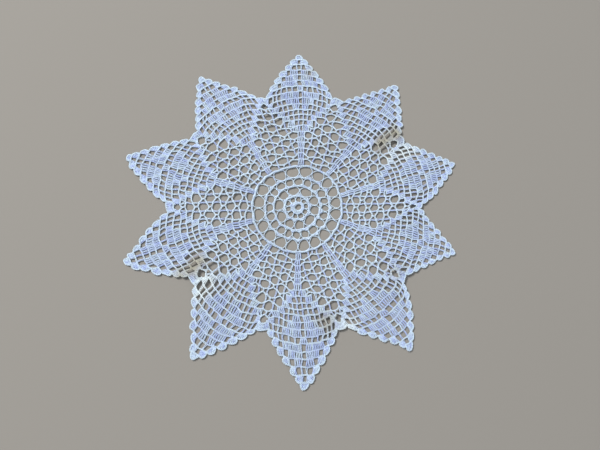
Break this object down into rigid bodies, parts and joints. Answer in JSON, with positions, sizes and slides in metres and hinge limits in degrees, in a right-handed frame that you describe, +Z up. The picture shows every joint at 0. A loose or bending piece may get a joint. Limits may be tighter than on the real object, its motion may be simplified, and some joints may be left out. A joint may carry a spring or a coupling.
{
  "type": "lace doily",
  "caption": "Crocheted lace doily with a round open centre, a net field and pointed filet petals with a scalloped edge, lying flat.",
  "frame": {"origin": "centre of the doily's bounding box, on the surface it lies on", "axes": "+Z up out of the upper face, +Y towards the petal at the top as it lies, +X to the right"},
  "size_m": [0.294, 0.3008, 0.0034],
  "materials": {
    "doily": "matt bleached cotton crochet"
  },
  "bodies": {
    "root": {"doily": "doily"}
  },
  "joints": []
}
